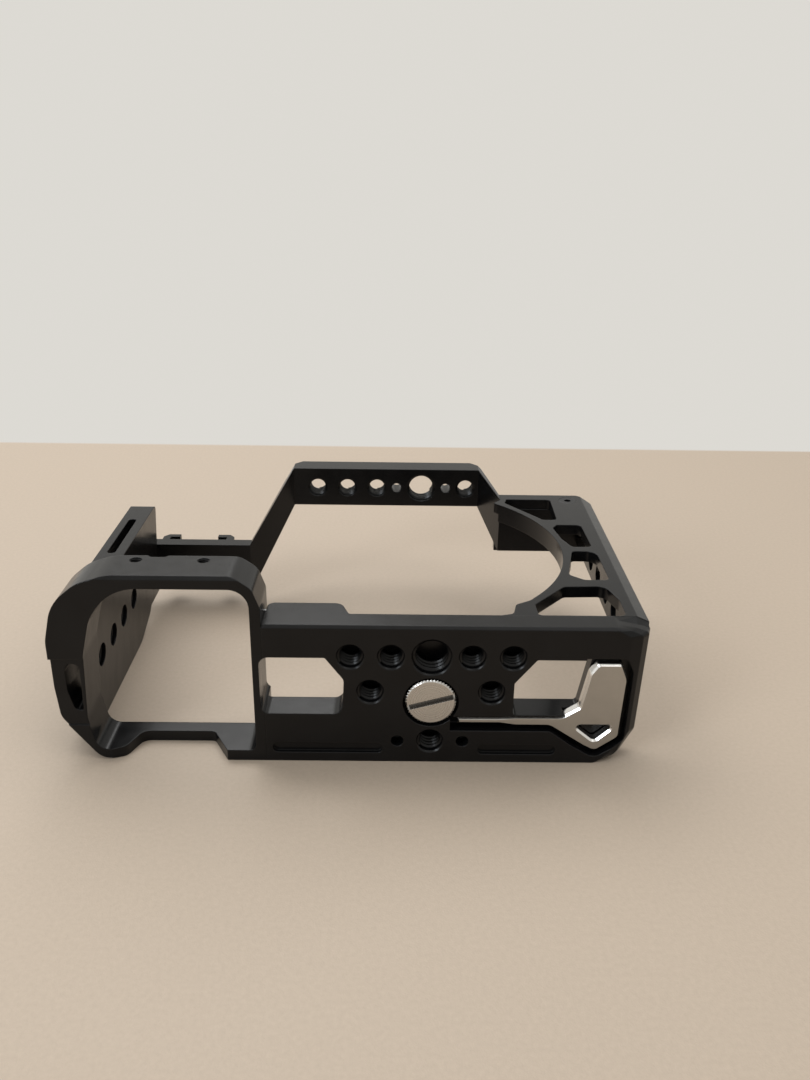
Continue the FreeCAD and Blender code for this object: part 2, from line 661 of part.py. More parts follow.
def make_lens_side_frame():
    shelf_z = PLATE_H - PANEL_T
    out_y = SHOULDER_IN_Y + SHOULDER_T
    edge = [
        (17.2, FRONT_STRIP_T),
        (20.3, 7.4, 1.6),
        (21.4, 12.4, 2.0),
        (25.0, 14.6, 1.5),
        (29.0, 18.4),
        (34.4, 26.6),
        (41.0, 47.6),
        (34.4, 68.0),
        (22.2, 83.6),
        (24.5, SHOULDER_IN_Y),
        (24.5, out_y),
        (49.6, out_y, 1.5),
        (53.9, 87.6, 1.5),
        (53.9, FRONT_STRIP_T),
    ]
    panel = slab(edge, "XY", shelf_z, PLATE_H)
    lens = Part.makeCylinder(ARC_R, PANEL_T + 2, FreeCAD.Vector(ARC_CX, ARC_CY, shelf_z - 1))
    filler = arc_band(ARC_R, ARC_R + 6.0, 16.0, 82.5, shelf_z, PLATE_H)
    panel = panel.fuse(filler).cut(lens.common(block(0, 60, 15.4, 82.6, 0, 60)))
    rim = arc_band(ARC_R, ARC_R + RIM_W, 30.0, 82.0, shelf_z - RIM_DROP, shelf_z)
    rail = block(RAIL_IN_X, 53.9, PLATE_T, SHOULDER_IN_Y, RAIL_Z0, shelf_z)
    foot_z = PLATE_H - FOOT_DROP
    foot = block(43.6, RAIL_IN_X, PLATE_T, FOOT_DEPTH, foot_z, shelf_z)
    heel = slab([(21.6, PLATE_T), (31.6, PLATE_T), (31.0, FOOT_DEPTH), (22.2, FOOT_DEPTH)], "XY", foot_z, shelf_z)
    body = panel.fuse([rim, rail, foot, heel])
    # Openings between the lens rim and the rail
    openings = [
        [(26.4, 86.8), (25.6, 83.4), (36.0, 69.5, 1.0), (40.3, 69.6, 1.2), (40.6, 86.8, 1.2)],
        [(38.0, 63.0, 1.6), (39.6, 65.6), (46.9, 65.6, 1.6), (47.3, 49.2, 1.4), (41.6, 49.0, 1.6), (39.4, 55.0)],
        [(41.0, 46.0, 1.4), (47.9, 46.0, 3.2), (48.0, 27.2, 1.4), (41.4, 27.2, 2.4), (37.6, 30.4, 2.0)],
        [(26.4, 6.7, 1.2), (26.2, 12.4, 1.2), (35.2, 22.9, 2.0), (46.0, 23.4, 3.0), (48.2, 15.6, 4.0), (48.2, 6.7, 1.6)],
    ]
    cuts = [slab(pts, "XY", shelf_z - 3.1, PLATE_H + 1) for pts in openings[:3]]
    cuts.append(slab(openings[3], "XY", shelf_z - 0.01, PLATE_H + 1))
    # Broad chamfer along the outer edge
    slope = slab(
        [(50.8, PLATE_H), (53.9, PLATE_H - 1.4), (56, PLATE_H - 1.4), (56, PLATE_H + 1), (50.8, PLATE_H + 1)],
        "XZ",
        0,
        95.0,
    )
    cuts.append(slope)
    for k in range(4):
        cuts += through_x(R_QUARTER, RAIL_HOLE_Y0 + k * SIDE_PITCH, RAIL_HOLE_Z, RAIL_IN_X, 53.9)
    for x, y, z, axis, length in LENS_FRAME_SCREWS:
        cuts += fastener_hole(M25_R, M25_HEAD_R, M25_HEAD_H, x, y, z, axis, length)
    for x, y, z, axis, length in LENS_FRAME_DOWELS:
        cuts.append(rod(DOWEL_R + CLOSE_FIT, x, y, z, axis, length))
    x, y, z, axis, length = BRIDGE_FRONT_SCREW
    cuts += fastener_hole(M3_R, M3_HEAD_R, M3_HEAD_H, x, y, z, axis, length)
    for x, y, z, axis, length in BRIDGE_DOWELS:
        cuts.append(rod(DOWEL_R + CLOSE_FIT, x, y, z, axis, length))
    return clean(body.cut(cuts))


def make_camera_screw():
    face = SCREW_HEAD_FACE
    head = rod(SCREW_HEAD_R, 0, face + 0.3, SCREW_Z, (0, 1, 0), SCREW_HEAD_T - 0.3)
    lead = cone(SCREW_HEAD_R - 0.35, SCREW_HEAD_R, 0, face, SCREW_Z, (0, 1, 0), 0.3)
    shank = rod(SCREW_SHANK_R, 0, face + 0.5, SCREW_Z, (0, 1, 0), SCREW_TIP_Y - face - 1.1)
    tip = cone(SCREW_SHANK_R, SCREW_SHANK_R - 0.6, 0, SCREW_TIP_Y - 0.6, SCREW_Z, (0, 1, 0), 0.6)
    groove = rod(SCREW_SHANK_R + 1, 0, CLIP_Y - 0.15, SCREW_Z, (0, 1, 0), CLIP_T + 0.3)
    groove = groove.cut(rod(GROOVE_R - 0.1, 0, CLIP_Y - 1, SCREW_Z, (0, 1, 0), CLIP_T + 2))
    slot = block(-8, 8, face - 1, face + SCREW_SLOT_D, SCREW_Z - SCREW_SLOT_W / 2.0, SCREW_Z + SCREW_SLOT_W / 2.0)
    slot.rotate(FreeCAD.Vector(0, 0, SCREW_Z), FreeCAD.Vector(0, 1, 0), -SCREW_SLOT_DEG)
    return clean(head.fuse([lead, shank, tip]).cut([groove, slot]))


def make_thrust_washer():
    ring = rod(WASHER_R, 0, WASHER_Y, SCREW_Z, (0, 1, 0), WASHER_T)
    return ring.cut(rod(SCREW_SHANK_R + 0.08, 0, WASHER_Y - 1, SCREW_Z, (0, 1, 0), WASHER_T + 2))


def make_retaining_clip():
    ring = rod(CLIP_R, 0, CLIP_Y, SCREW_Z, (0, 1, 0), CLIP_T)
    inner = rod(GROOVE_R, 0, CLIP_Y - 1, SCREW_Z, (0, 1, 0), CLIP_T + 2)
    mouth = block(-GROOVE_R * 0.82, GROOVE_R * 0.82, CLIP_Y - 1, CLIP_Y + CLIP_T + 1, SCREW_Z - 7, SCREW_Z)
    return clean(ring.cut([inner, mouth]))


def make_driver_tool():
    body = slab(TOOL_POINTS, "XZ", TOOL_FACE, TOOL_FACE + TOOL_T)
    body = body.cut(slab(TOOL_EYE, "XZ", TOOL_FACE - 1, TOOL_FACE + TOOL_T + 1))
    rim = [e for e in body.Edges if e.BoundBox.YMax < TOOL_FACE + 0.01]
    return body.makeChamfer(TOOL_BEVEL, rim)


def make_magnets():
    return [rod(MAGNET_R, x, POCKET_DEPTH, z, (0, 1, 0), MAGNET_T) for x, z in MAGNETS]


def screws(rows, r, head_r, head_h):
    return [fastener(r, head_r, head_h, x, y, z, axis, length) for x, y, z, axis, length in rows]


def dowels(rows):
    out = []
    for x, y, z, axis, length in rows:
        out.append(rod(DOWEL_R, x, y, z, axis, length))
    return out


def main():
    nodes = {
        "bottom_plate": [make_bottom_plate()],
        "grip_frame": [make_grip_frame()],
        "top_bridge": [make_top_bridge()],
        "lens_side_frame": [make_lens_side_frame()],
        "camera_screw": [make_camera_screw()],
        "thrust_washer": [make_thrust_washer()],
        "retaining_clip": [make_retaining_clip()],
        "driver_tool": [make_driver_tool()],
        "tool_magnets": make_magnets(),
        "base_pad_grip_side": [make_pad(0)],
        "base_pad_lens_side": [make_pad(1)],
        "index_pin": [make_index_pin()],
        "grip_frame_screws": screws(GRIP_SCREWS, M25_R, M25_HEAD_R, M25_HEAD_H),
        "grip_frame_dowels": dowels(GRIP_DOWELS),
        "bridge_side_screws": screws(BRIDGE_SIDE_SCREWS, M25_R, M25_HEAD_R, M25_HEAD_H),
        "bridge_front_screw": screws([BRIDGE_FRONT_SCREW], M3_R, M3_HEAD_R, M3_HEAD_H),
        "bridge_dowels": dowels(BRIDGE_DOWELS),
        "lens_frame_screws": screws(LENS_FRAME_SCREWS, M25_R, M25_HEAD_R, M25_HEAD_H),
        "lens_frame_dowels": dowels(LENS_FRAME_DOWELS),
    }
    os.makedirs(OUT_DIR, exist_ok=True)
    everything = Part.makeCompound([s for group in nodes.values() for s in group])
    box = everything.BoundBox
    shift = FreeCAD.Vector(-(box.XMin + box.XMax) / 2.0, -(box.YMin + box.YMax) / 2.0, -box.ZMin)
    print("shift %.4f %.4f %.4f" % (shift.x, shift.y, shift.z))
    print("size %.3f %.3f %.3f" % (box.XLength, box.YLength, box.ZLength))
    for name, group in nodes.items():
        moved = []
        for s in group:
            t = s.copy()
            t.translate(shift)
            moved.append(t)
            if not t.isValid() or len(t.Solids) != 1:
                print("check", name, t.isValid(), len(t.Solids))
        shape = moved[0] if len(moved) == 1 else Part.makeCompound(moved)
        shape.exportStep(os.path.join(OUT_DIR, name + ".step"))


main()
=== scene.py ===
"""Camera cage: finishes, thread coils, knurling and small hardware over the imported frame."""

import logging
import math
from collections.abc import Iterable
from dataclasses import dataclass
from enum import Enum

import bmesh
import bpy
from mathutils import Matrix, Vector

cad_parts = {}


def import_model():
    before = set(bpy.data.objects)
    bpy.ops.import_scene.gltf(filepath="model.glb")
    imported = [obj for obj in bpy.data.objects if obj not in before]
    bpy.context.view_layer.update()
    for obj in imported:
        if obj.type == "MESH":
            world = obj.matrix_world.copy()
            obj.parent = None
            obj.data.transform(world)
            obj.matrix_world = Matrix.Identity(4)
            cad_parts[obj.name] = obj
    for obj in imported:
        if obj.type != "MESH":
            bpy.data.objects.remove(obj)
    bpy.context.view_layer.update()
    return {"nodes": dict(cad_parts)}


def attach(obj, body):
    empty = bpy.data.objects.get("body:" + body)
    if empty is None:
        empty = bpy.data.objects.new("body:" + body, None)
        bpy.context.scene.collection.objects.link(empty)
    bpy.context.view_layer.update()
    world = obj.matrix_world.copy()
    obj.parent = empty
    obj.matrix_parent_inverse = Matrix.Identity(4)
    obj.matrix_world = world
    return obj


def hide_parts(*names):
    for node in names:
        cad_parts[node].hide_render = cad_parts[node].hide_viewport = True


Colour = tuple[float, float, float]
Socket = bpy.types.NodeSocket

MM = 0.001
WELD_M = 1e-7
FULL_TURN = 2.0 * math.pi
WHITE: Colour = (1.0, 1.0, 1.0)
LOG = logging.getLogger("cage")

# Where the drawing's zero lies in the part's frame, in millimetres: the axis of the base plate's
# 3/8 in hole, on the plate's outer face, at table height.
DRAWING_ORIGIN = Vector((19.861, -55.5, 0.0))

# The camera screw's axis and the outer face of its head, in millimetres of the drawing.
SCREW_Z = 17.7
SCREW_FACE_Y = 0.1


def row(x: float, y: float, z: float) -> Vector:
    """Turn a drawing position into the part's frame.

    Args:
        x: Millimetres to the right of the 3/8 in hole of the base.
        y: Millimetres in from the base plate's outer face.
        z: Millimetres above the table.

    Returns:
        The same position in metres, in the part's frame.
    """
    return (Vector((x, y, z)) + DRAWING_ORIGIN) * MM


def box(points: list[Vector]) -> tuple[Vector, Vector]:
    """Find the two corners of the box round some points.

    Args:
        points: The points.

    Returns:
        The low corner and the high corner.
    """
    low, high = (Vector([pick(p[i] for p in points) for i in range(3)]) for pick in (min, max))
    return low, high


class Way(Enum):
    """Directions that holes and screws point in."""

    OUT_OF_BASE = (0.0, -1.0, 0.0)
    OUT_OF_BAR = (0.0, 1.0, 0.0)
    GRIP_SIDE = (-1.0, 0.0, 0.0)
    LENS_RELEASE_SIDE = (1.0, 0.0, 0.0)
    TO_LENS = (0.0, 0.0, 1.0)
    FROM_LENS = (0.0, 0.0, -1.0)

    def turn(self) -> Matrix:
        """Rotation that takes +Z to this direction."""
        return Vector(self.value).to_track_quat("Z", "Y").to_matrix().to_4x4()


class Bench:
    """A material's node tree, with short ways to add and join nodes."""

    NOISE_ROUGHNESS = 0.55
    EDGE_SAMPLES = 6

    def __init__(self, name: str) -> None:
        """Start an empty tree.

        Args:
            name: The material's name.
        """
        self.material = bpy.data.materials.new(name)
        self.material.use_nodes = True
        self.tree = self.material.node_tree
        self.tree.nodes.clear()
        self.output = self.tree.nodes.new("ShaderNodeOutputMaterial")

    def add(self, kind: str, **settings: object) -> bpy.types.Node:
        """Add a node.

        Args:
            kind: The node's type name.
            settings: Properties of the node, by name.

        Returns:
            The new node.
        """
        node = self.tree.nodes.new(kind)
        for key, value in settings.items():
            setattr(node, key, value)
        return node

    def surface(self, **constants: float) -> bpy.types.Node:
        """Add the surface shader.

        Args:
            constants: Values of its sockets, with _ for each space in a socket's name.

        Returns:
            The shader node.
        """
        shader = self.add("ShaderNodeBsdfPrincipled")
        for key, value in constants.items():
            shader.inputs[key.replace("_", " ")].default_value = value
        return shader

    def join(self, start: Socket, end: Socket) -> None:
        """Link two sockets."""
        self.tree.links.new(start, end)

    def position(self) -> Socket:
        """Position on the piece, in metres."""
        return self.add("ShaderNodeTexCoord").outputs["Object"]

    def noise(
        self, scale: float, detail: float, stretch: tuple[float, float, float] = (1.0, 1.0, 1.0)
    ) -> Socket:
        """Noise in space.

        Args:
            scale: Features per metre, before stretching.
            detail: Octaves.
            stretch: Factor on each axis.

        Returns:
            The noise's value socket.
        """
        mapping = self.add("ShaderNodeMapping")
        mapping.inputs["Scale"].default_value = stretch
        self.join(self.position(), mapping.inputs["Vector"])
        noise = self.add("ShaderNodeTexNoise")
        noise.inputs["Scale"].default_value = scale
        noise.inputs["Detail"].default_value = detail
        noise.inputs["Roughness"].default_value = self.NOISE_ROUGHNESS
        self.join(mapping.outputs["Vector"], noise.inputs["Vector"])
        return noise.outputs["Fac"]

    def spread(
        self, value: Socket, low: float, high: float, start: float = 0.3, end: float = 0.7
    ) -> Socket:
        """Map a value from one range to another.

        Args:
            value: What to map.
            low: Result at start.
            high: Result at end.
            start: Lower end of the input.
            end: Upper end of the input.

        Returns:
            The mapped value.
        """
        node = self.add("ShaderNodeMapRange")
        node.inputs["From Min"].default_value = start
        node.inputs["From Max"].default_value = end
        node.inputs["To Min"].default_value = low
        node.inputs["To Max"].default_value = high
        self.join(value, node.inputs["Value"])
        return node.outputs["Result"]

    def mixer(self, share: Socket, over: Colour) -> tuple[Socket, Socket]:
        """Add a node that goes from one colour to a plain one.

        Args:
            share: Share of the plain colour, 0 to 1.
            over: The plain colour.

        Returns:
            The socket of the colour underneath, and the result.
        """
        node = self.add("ShaderNodeMix", data_type="RGBA")
        ends = {socket.identifier: socket for socket in node.inputs}
        ends["B_Color"].default_value = (*over, 1.0)
        self.join(share, node.inputs["Factor"])
        return ends["A_Color"], next(s for s in node.outputs if s.identifier == "Result_Color")

    def blend(self, share: Socket, first: Colour, second: Colour) -> Socket:
        """Mix two plain colours by a share from 0 to 1."""
        under, result = self.mixer(share, second)
        under.default_value = (*first, 1.0)
        return result

    def mix(self, share: Socket, painted: Socket, over: Colour) -> Socket:
        """Lay a plain colour over a painted one by a share from 0 to 1."""
        under, result = self.mixer(share, over)
        self.join(painted, under)
        return result

    def clouds(self, value: Socket, first: Colour, second: Colour) -> Socket:
        """Two plain colours in soft clouds of a noise."""
        return self.blend(self.spread(value, low=0.0, high=1.0), first, second)

    def soft_edges(self, radius: float) -> Socket:
        """A normal that rounds the piece's edges by a radius in metres."""
        node = self.add("ShaderNodeBevel", samples=self.EDGE_SAMPLES)
        node.inputs["Radius"].default_value = radius
        return node.outputs["Normal"]

    def bump(
        self, height: Socket, strength: float, distance: float, under: Socket | None = None
    ) -> Socket:
        """Turn a height into a normal.

        Args:
            height: The height, 0 to 1.
            strength: Share of the effect.
            distance: Real height in metres.
            under: A normal that this one is laid over.

        Returns:
            The bumped normal.
        """
        node = self.add("ShaderNodeBump")
        node.inputs["Strength"].default_value = strength
        node.inputs["Distance"].default_value = distance
        self.join(height, node.inputs["Height"])
        if under is not None:
            self.join(under, node.inputs["Normal"])
        return node.outputs["Normal"]

    def finish(self, shader: bpy.types.Node) -> bpy.types.Material:
        """Connect the shader and hand back the material."""
        self.join(shader.outputs[0], self.output.inputs["Surface"])
        return self.material


@dataclass(frozen=True)
class Anodised:
    """Bead-blasted aluminium with a black anodised skin, lengths in metres."""

    name: str = "black_anodised"
    deep: Colour = (0.0026, 0.0026, 0.0029)
    worn: Colour = (0.0046, 0.0046, 0.0050)
    rough_low: float = 0.20
    rough_high: float = 0.27
    cloud_per_m: float = 130.0
    smear_per_m: float = 320.0
    smear_stretch: tuple[float, float, float] = (1.0, 1.0, 0.35)
    grain_per_m: float = 6500.0
    grain_height: float = 0.000003
    edge_radius: float = 0.0004

    def material(self) -> bpy.types.Material:
        """Build the node material."""
        b = Bench(self.name)
        shader = b.surface(Specular_IOR_Level=0.24, IOR=1.5)
        cloud = b.noise(self.cloud_per_m, detail=5.0)
        b.join(b.clouds(cloud, self.deep, self.worn), shader.inputs["Base Color"])
        smear = b.noise(self.smear_per_m, detail=4.0, stretch=self.smear_stretch)
        b.join(b.spread(smear, self.rough_low, self.rough_high), shader.inputs["Roughness"])
        grain = b.noise(self.grain_per_m, detail=2.0)
        normal = b.bump(
            grain, strength=0.55, distance=self.grain_height, under=b.soft_edges(self.edge_radius)
        )
        b.join(normal, shader.inputs["Normal"])
        return b.finish(shader)


@dataclass(frozen=True)
class TurnedSteel:
    """Stainless steel faced on a lathe, with rings, and painted shade in the slot and behind the
    head's face, lengths in metres.
    """

    name: str
    axis_at: Vector
    face_y: float
    colour: Colour = (0.60, 0.585, 0.56)
    shade: Colour = (0.50, 0.49, 0.475)
    rough_low: float = 0.24
    rough_high: float = 0.32
    ring_pitch: float = 0.00030
    ring_height: float = 0.000004
    edge_radius: float = 0.0001
    # The slot fields below paint shade: the slot and all below the head's face within slot_reach
    # of the axis turn dark.
    slot_reach: float = 0.0057
    slot_blur: float = 0.0001
    slot_start: float = 0.0002
    slot_dark: float = 0.0010
    slot_painted_shade: Colour = (0.16, 0.15, 0.14)

    def radius(self, b: Bench) -> Socket:
        """Distance from the screw's axis, in metres."""
        mapping = b.add("ShaderNodeMapping")
        mapping.inputs["Location"].default_value = (-self.axis_at.x, 0.0, -self.axis_at.z)
        b.join(b.position(), mapping.inputs["Vector"])
        flat = b.add("ShaderNodeVectorMath", operation="MULTIPLY")
        flat.inputs[1].default_value = (1.0, 0.0, 1.0)
        b.join(mapping.outputs["Vector"], flat.inputs[0])
        radius = b.add("ShaderNodeVectorMath", operation="LENGTH")
        b.join(flat.outputs["Vector"], radius.inputs[0])
        return radius.outputs["Value"]

    def slot(self, b: Bench, radius: Socket) -> Socket:
        """Painted shade share: 1 below the head's face and inside the slot's reach, where shade
        falls in the slot.
        """
        depth = b.add("ShaderNodeSeparateXYZ")
        b.join(b.position(), depth.inputs[0])
        sunk = b.spread(
            depth.outputs["Y"],
            low=0.0,
            high=1.0,
            start=self.face_y + self.slot_start,
            end=self.face_y + self.slot_dark,
        )
        inside = b.spread(
            radius,
            low=1.0,
            high=0.0,
            start=self.slot_reach - self.slot_blur,
            end=self.slot_reach + self.slot_blur,
        )
        both = b.add("ShaderNodeMath", operation="MULTIPLY")
        b.join(sunk, both.inputs[0])
        b.join(inside, both.inputs[1])
        return both.outputs[0]

    def material(self) -> bpy.types.Material:
        """Build the node material."""
        b = Bench(self.name)
        shader = b.surface(Metallic=1.0)
        radius = self.radius(b)
        rings = b.add("ShaderNodeTexNoise", noise_dimensions="1D")
        rings.inputs["Scale"].default_value = 1.0 / self.ring_pitch
        rings.inputs["Detail"].default_value = 3.0
        b.join(radius, rings.inputs["W"])
        ring = rings.outputs["Fac"]
        turned = b.clouds(ring, self.shade, self.colour)
        # Painted shade: below the head's face, near the axis, the turned colour goes to a dark
        # shade colour.
        b.join(b.mix(self.slot(b, radius), turned, self.slot_painted_shade), shader.inputs["Base Color"])
        b.join(b.spread(ring, self.rough_low, self.rough_high), shader.inputs["Roughness"])
        normal = b.bump(
            ring, strength=0.16, distance=self.ring_height, under=b.soft_edges(self.edge_radius)
        )
        b.join(normal, shader.inputs["Normal"])
        return b.finish(shader)


@dataclass(frozen=True)
class BlastedSteel:
    """Tool steel with a matt blasted face and bevels painted bright as a highlight, lengths in
    metres.
    """

    name: str = "tool_steel"
    face: Colour = (0.44, 0.43, 0.41)
    # Painted highlight colour of the bevels and sides.
    edge_painted_highlight: Colour = (0.80, 0.79, 0.77)
    mottle: float = 0.93
    cloud_per_m: float = 260.0
    edge_start: float = 0.80
    edge_end: float = 0.97
    rough_face: float = 0.30
    rough_edge: float = 0.22
    grain_per_m: float = 6500.0
    grain_height: float = 0.000004
    edge_radius: float = 0.00008

    def material(self) -> bpy.types.Material:
        """Build the node material."""
        b = Bench(self.name)
        shader = b.surface(Metallic=1.0)
        normal = b.add("ShaderNodeNewGeometry").outputs["True Normal"]
        split = b.add("ShaderNodeSeparateXYZ")
        b.join(normal, split.inputs[0])
        upright = b.add("ShaderNodeMath", operation="ABSOLUTE")
        b.join(split.outputs["Y"], upright.inputs[0])
        # Painted highlight: faces that turn away from the Y axis, the bevels and sides, take a
        # bright colour.
        edge = b.spread(
            upright.outputs[0], low=1.0, high=0.0, start=self.edge_start, end=self.edge_end
        )
        cloud = b.noise(self.cloud_per_m, detail=3.0)
        dull = b.clouds(cloud, tuple(c * self.mottle for c in self.face), self.face)
        b.join(b.mix(edge, dull, self.edge_painted_highlight), shader.inputs["Base Color"])
        rough = b.spread(edge, self.rough_face, self.rough_edge, start=0.0, end=1.0)
        b.join(rough, shader.inputs["Roughness"])
        grain = b.noise(self.grain_per_m, detail=2.0)
        bumped = b.bump(
            grain, strength=0.35, distance=self.grain_height, under=b.soft_edges(self.edge_radius)
        )
        b.join(bumped, shader.inputs["Normal"])
        return b.finish(shader)


@dataclass(frozen=True)
class PlainMetal:
    """Small hardware: blackened screws, ground pins and plated magnets, lengths in metres."""

    name: str
    colour: Colour
    shade: Colour
    rough_low: float
    rough_high: float
    cloud_per_m: float = 900.0
    grain_per_m: float = 5000.0
    grain_height: float = 0.000005
    edge_radius: float = 0.00012

    def material(self) -> bpy.types.Material:
        """Build the node material."""
        b = Bench(self.name)
        shader = b.surface(Metallic=1.0)
        cloud = b.noise(self.cloud_per_m, detail=4.0)
        b.join(b.clouds(cloud, self.shade, self.colour), shader.inputs["Base Color"])
        b.join(b.spread(cloud, self.rough_low, self.rough_high), shader.inputs["Roughness"])
        grain = b.noise(self.grain_per_m, detail=2.0)
        normal = b.bump(
            grain, strength=0.3, distance=self.grain_height, under=b.soft_edges(self.edge_radius)
        )
        b.join(normal, shader.inputs["Normal"])
        return b.finish(shader)


@dataclass(frozen=True)
class SoftPlastic:
    """Nylon or silicone with a fine moulded grain, lengths in metres."""

    name: str
    colour: Colour
    shade: Colour
    rough: float
    cloud_per_m: float = 500.0
    grain_per_m: float = 3800.0
    grain_height: float = 0.00002

    def material(self) -> bpy.types.Material:
        """Build the node material."""
        b = Bench(self.name)
        shader = b.surface(Roughness=self.rough)
        cloud = b.noise(self.cloud_per_m, detail=4.0)
        b.join(b.clouds(cloud, self.shade, self.colour), shader.inputs["Base Color"])
        grain = b.noise(self.grain_per_m, detail=3.0)
        b.join(b.bump(grain, strength=0.6, distance=self.grain_height), shader.inputs["Normal"])
        return b.finish(shader)


BLACK_ANODISED = Anodised()
TOOL_STEEL = BlastedSteel()
BLACK_STEEL = PlainMetal(
    "black_steel",
    colour=(0.05, 0.05, 0.053),
    shade=(0.03, 0.03, 0.032),
    rough_low=0.32,
    rough_high=0.45,
)
DOWEL_STEEL = PlainMetal(
    "dowel_steel",
    colour=(0.55, 0.55, 0.54),
    shade=(0.47, 0.47, 0.47),
    rough_low=0.2,
    rough_high=0.32,
)
MAGNET_NICKEL = PlainMetal(
    "magnet_nickel",
    colour=(0.66, 0.64, 0.60),
    shade=(0.58, 0.565, 0.53),
    rough_low=0.12,
    rough_high=0.22,
)
WASHER_NYLON = SoftPlastic(
    "washer_nylon", colour=(0.74, 0.72, 0.66), shade=(0.68, 0.66, 0.6), rough=0.45
)
PAD_SILICONE = SoftPlastic(
    "pad_silicone", colour=(0.022, 0.022, 0.023), shade=(0.014, 0.014, 0.015), rough=0.72
)


def solid(
    name: str, bm: bmesh.types.BMesh, finish: bpy.types.Material, body: str
) -> bpy.types.Object:
    """Turn a finished bmesh into a piece that rides on a body.

    Args:
        name: The piece's name.
        bm: Its mesh, in the part's frame.
        finish: Its material.
        body: The CAD body that it moves with.

    Returns:
        The new object.
    """
    bmesh.ops.remove_doubles(bm, verts=bm.verts, dist=WELD_M)
    bmesh.ops.recalc_face_normals(bm, faces=bm.faces)
    mesh = bpy.data.meshes.new(name)
    bm.to_mesh(mesh)
    bm.free()
    mesh.materials.append(finish)
    piece = bpy.data.objects.new(name, mesh)
    bpy.context.scene.collection.objects.link(piece)
    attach(piece, body)
    LOG.info("%s: %d faces on %s", name, len(mesh.polygons), body)
    return piece


@dataclass(frozen=True)
class Thread:
    """One size of thread, in millimetres.

    flat and root are half the ridge's width at its crest and its root, as shares of the pitch,
    and steps counts the sections in a turn.
    """

    wall: float
    crest: float
    pitch: float
    steps: int = 28
    flat: float = 0.12
    root: float = 0.46
    buried: float = 0.06
    fewest_steps: int = 4

    def coil(self, bm: bmesh.types.BMesh, at: Vector, way: Way, length: float) -> None:
        """Add one helical ridge, centred on a point.

        Args:
            bm: The mesh to add to.
            at: Middle of the hole, in the part's frame.
            way: Direction of the hole.
            length: Length of thread in millimetres.
        """
        turns = length / self.pitch - 2.0 * self.root
        rise = turns * self.pitch
        outer = self.wall + self.buried if self.wall > self.crest else self.wall - self.buried
        section = [
            (outer, -self.root * self.pitch),
            (self.crest, -self.flat * self.pitch),
            (self.crest, self.flat * self.pitch),
            (outer, self.root * self.pitch),
        ]
        corners = [bm.verts.new(Vector((r, 0.0, z - rise / 2.0)) * MM) for r, z in section]
        start = bm.faces.new(corners)
        count = max(self.fewest_steps, int(self.steps * turns))
        bmesh.ops.spin(
            bm,
            geom=corners + list(start.edges) + [start],
            cent=(0.0, 0.0, 0.0),
            axis=(0.0, 0.0, 1.0),
            dvec=(0.0, 0.0, rise * MM / count),
            angle=FULL_TURN * turns,
            steps=count,
            use_duplicate=False,
        )
        # A tag marks the points of coils that already have their place.
        fresh = [v for v in bm.verts if not v.tag]
        bmesh.ops.transform(bm, matrix=Matrix.Translation(at) @ way.turn(), verts=fresh)
        for v in fresh:
            v.tag = True


QUARTER = Thread(wall=3.175, crest=2.6, pitch=1.27)
THREE_EIGHTHS = Thread(wall=4.7625, crest=4.05, pitch=1.5875, steps=36)
M3_BAND = Thread(wall=1.5, crest=1.25, pitch=0.5, steps=18)
SHANK = Thread(wall=2.62, crest=3.15, pitch=1.27)

Hole = tuple[Thread, tuple[float, float, float]]


@dataclass
class ThreadedHoles:
    """The thread coils of one section of the cage."""

    name: str
    way: Way
    length: float
    holes: list[Hole]

    def build(self, finish: bpy.types.Material) -> bpy.types.Object:
        """Make one coil per hole and join them.

        Args:
            finish: The coils' material.

        Returns:
            The piece, riding on the frame.
        """
        bm = bmesh.new()
        for thread, centre in self.holes:
            thread.coil(bm, row(*centre), self.way, self.length)
        return solid(self.name, bm, finish, "frame")


@dataclass(frozen=True)
class BasePlateHoles:
    """The base plate's tapped holes, in millimetres of the drawing."""

    mid_y: float = 3.9
    length: float = 7.0
    pitch: float = 10.0
    row_z: float = 30.5
    low_z: float = 6.3
    wing_x: float = 15.1
    wing_z: float = 20.6

    def holes(self) -> list[Hole]:
        """Four 1/4 in holes round the 3/8 in one, one below it and two beside the screw."""
        base = [(QUARTER, (self.pitch * k, self.mid_y, self.row_z)) for k in (-2, -1, 1, 2)]
        base.append((THREE_EIGHTHS, (0.0, self.mid_y, self.row_z)))
        base.append((QUARTER, (0.0, self.mid_y, self.low_z)))
        base += [(QUARTER, (side * self.wing_x, self.mid_y, self.wing_z)) for side in (-1, 1)]
        return base

    def coils(self) -> ThreadedHoles:
        """Their thread coils."""
        return ThreadedHoles("base_threads", Way.OUT_OF_BASE, self.length, self.holes())


@dataclass(frozen=True)
class TopBarHoles:
    """The top bar's tapped holes, in millimetres of the drawing."""

    mid_x: float = -0.7
    mid_y: float = 107.25
    z: float = 36.4
    length: float = 7.2
    quarter_from_mid: tuple[float, ...] = (-35.0, -25.0, -15.0, 15.0)

    def coils(self) -> ThreadedHoles:
        """The coils of the 1/4 in holes and of the 3/8 in hole in the middle."""
        bar = [(QUARTER, (self.mid_x + dx, self.mid_y, self.z)) for dx in self.quarter_from_mid]
        bar.append((THREE_EIGHTHS, (self.mid_x, self.mid_y, self.z)))
        return ThreadedHoles("bar_threads", Way.OUT_OF_BAR, self.length, bar)


